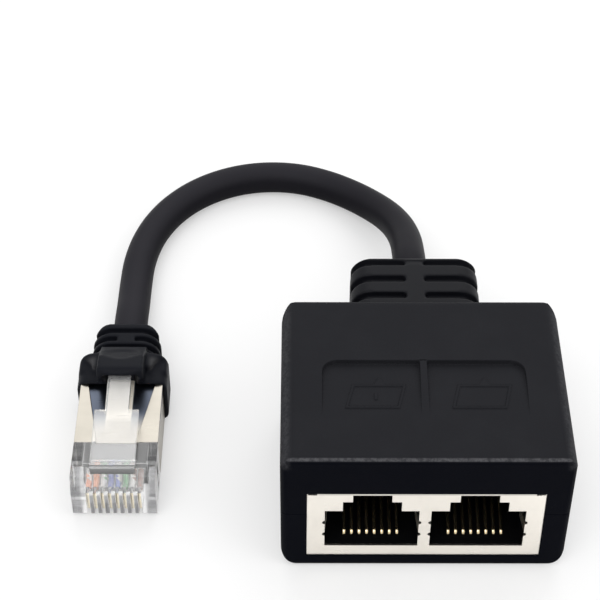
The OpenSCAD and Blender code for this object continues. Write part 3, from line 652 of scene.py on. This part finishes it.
def full_rim(x, y, z):
    """Fills out the strain relief's last rim, and rounds its corners like those of the rims before it."""
    half_w, half_h, mid_z, end_y = 9.25, 7.0, 11, 27.5
    solid_round_w, solid_round_h = 3, 2.1
    corner, rim = 3.0, 1.3
    aside, above = abs(x), abs(z - mid_z)
    part = eased(y, 26.3, 26.6) * eased(np.hypot(x, z - mid_z), 3.4, 5.0)

    def inset(radius):
        """How far a side with this end radius has drawn in, this near the end."""
        return radius - np.sqrt(radius ** 2 - np.clip(y - end_y + radius, 0, radius - 0.01) ** 2)

    solid_w, solid_h = half_w - inset(solid_round_w), half_h - inset(solid_round_h)
    wide, high = half_w - inset(rim), half_h - inset(rim)
    new_x, new_z = aside * wide / solid_w, above * high / solid_h
    over_x, over_z = np.maximum(new_x - wide + corner, 0), np.maximum(new_z - high + corner, 0)
    pull = 1 - np.minimum(corner / np.maximum(np.hypot(over_x, over_z), 0.01), 1)
    new_x, new_z = new_x - over_x * pull, new_z - over_z * pull
    return (np.sign(x) * (aside + part * (new_x - aside)), y,
            mid_z + np.sign(z - mid_z) * (above + part * (new_z - above)))


def plug_sleeve():
    """The plug's boot: its tongue and ears flow into one form, with a shallow thumb rest in the tongue."""
    piece = melted("plug_sleeve", "plug_boot", BOOT, 0.14, 6)
    mid_x, tip_y = PLUG_TIP
    relaxed(piece, lambda x, y, z: eased(y, tip_y + 24.0, tip_y + 23.2) * eased(z, 6.2, 7.4), 40)
    tongue_y = tip_y + 16.56
    half_w, solid_corner = 3.3, 2.2
    arc_half_w, arc_l = 3.2, 0.5
    rest_y, rest_half_w, rest_half_l, rest_depth = tip_y + 21.2, 3.2, 2.0, 0.3

    def full_tongue(x, y, z):
        """Widens the tongue's tip to a gentle arc, and presses the thumb rest."""
        into = np.clip(y - tongue_y, 0, solid_corner)
        narrow = half_w - solid_corner
        solid = narrow + np.sqrt(solid_corner ** 2 - (solid_corner - into) ** 2)
        arc = np.clip(arc_half_w * np.sqrt(into / arc_l), narrow, half_w)
        part = eased(z, 7.9, 8.2)
        inside = np.hypot((x - mid_x) / rest_half_w, (y - rest_y) / rest_half_l)
        rest = eased(inside, 1.0, 0.45) * eased(z, 8.0, 8.3)
        return mid_x + (x - mid_x) * (1 + part * (arc / solid - 1)), y, z - rest_depth * rest

    return reshaped(piece, full_tongue)


relief = reshaped(melted("lead_relief", "strain_relief", RELIEF, 0.18, 12), full_rim)
finish_piece(relief, "relief_rubber", "strain_relief")
boot = finish_piece(plug_sleeve(), "boot_rubber", "plug_boot")
shield = finish_piece(softened("plug_can", "plug_shield", PLUG_NICKEL, 0.08), "nickel_sheet", "plug_shield")
clear = finish_piece(softened("plug_nose", "plug_body", CLEAR, 0.1), "clear_plastic", "plug_body")
node_material("plug_load_bar", FROSTED)
for lane in range(1, 9):
    node_material(f"lead_wire_{lane}", WIRES[lane - 1])
    node_material(f"plug_wire_{lane}", WIRES[lane - 1])
blade_y = PLUG_TIP[1] + 2.3
blades = comb("plug_blades", [(blade_y, 0.9), (blade_y, 3.675)], PLUG_TIP[0], width=0.35, thickness=3.2,
              edge=0.05, pitch=LANE_PITCH, count=8, finish=BLADE_GOLD)
finish_piece(blades, "contact_gold", *[f"plug_contact_{lane}" for lane in range(1, 9)])

lead_line = dense(LEAD_ROUTE, 0.8)
lead = link("lead", tube_mesh("lead", lead_line, LEAD_DIA / MM / 2, 48), JACKET)
finish_piece(lead, "cable_jacket", "cable_jacket")

# Floor and light

LIT_SPOT = Vector((-0.015, 0.02, 0))


def floor():
    """A white floor. It glows a little to the camera, which keeps its shadow but makes it faint, and it
    looks evenly lit through the clear plastic."""
    mesh = bpy.data.meshes.new("floor")
    r = 6.0
    mesh.from_pydata([(-r, -r, 0), (r, -r, 0), (r, r, 0), (-r, r, 0)], [], [(0, 1, 2, 3)])
    f = Finish("floor", Roughness=0.9, Specular_IOR_Level=0.0, Base_Color=(0.93, 0.93, 0.93, 1))
    through = f.add("ShaderNodeLightPath", out="Is Transmission Ray")
    seen = f.add("ShaderNodeLightPath", out="Is Camera Ray")
    glow = f.add("ShaderNodeEmission", values={"Color": (1, 1, 1, 1), "Strength": 0.97})
    bare = Value(f, f.shader.outputs[0])
    both = f.add("ShaderNodeMixShader", values={0: through.most(seen * 0.4), 1: bare, 2: glow})
    f.tree.links.new(both.socket, f.tree.nodes["Material Output"].inputs["Surface"])
    link("floor", mesh, f)


def lamp(name, place, size, watts):
    """A round area light, aimed at the middle of the part. Its place is in metres."""
    data = bpy.data.lights.new(name, "AREA")
    data.shape, data.size, data.energy = "DISK", size, watts
    obj = bpy.data.objects.new(name, data)
    bpy.context.scene.collection.objects.link(obj)
    obj.location = place
    obj.rotation_mode = "QUATERNION"
    obj.rotation_quaternion = (LIT_SPOT - Vector(place)).to_track_quat("-Z", "Y")


def world():
    """White, and a little dimmer as a light than as it is seen."""
    w = bpy.data.worlds.new("studio")
    bpy.context.scene.world = w
    w.use_nodes = True
    sky = Nodes(w.node_tree)
    back = sky.tree.nodes["Background"]
    seen = sky.add("ShaderNodeLightPath", out="Is Camera Ray")
    through = sky.add("ShaderNodeLightPath", out="Is Transmission Ray")
    sky.put(seen.most(through) * 0.2 + 0.8, back.inputs["Strength"])
    sky.put((1, 1, 1, 1), back.inputs["Color"])


floor()
world()
lamp("key", (-0.25, -0.5, 0.85), size=0.7, watts=3.0)
lamp("fill", (0.6, -0.3, 0.6), size=0.6, watts=1.2)
lamp("back", (0.1, 0.8, 0.7), size=1.0, watts=3.0)
bpy.context.scene.view_settings.view_transform = "Standard"
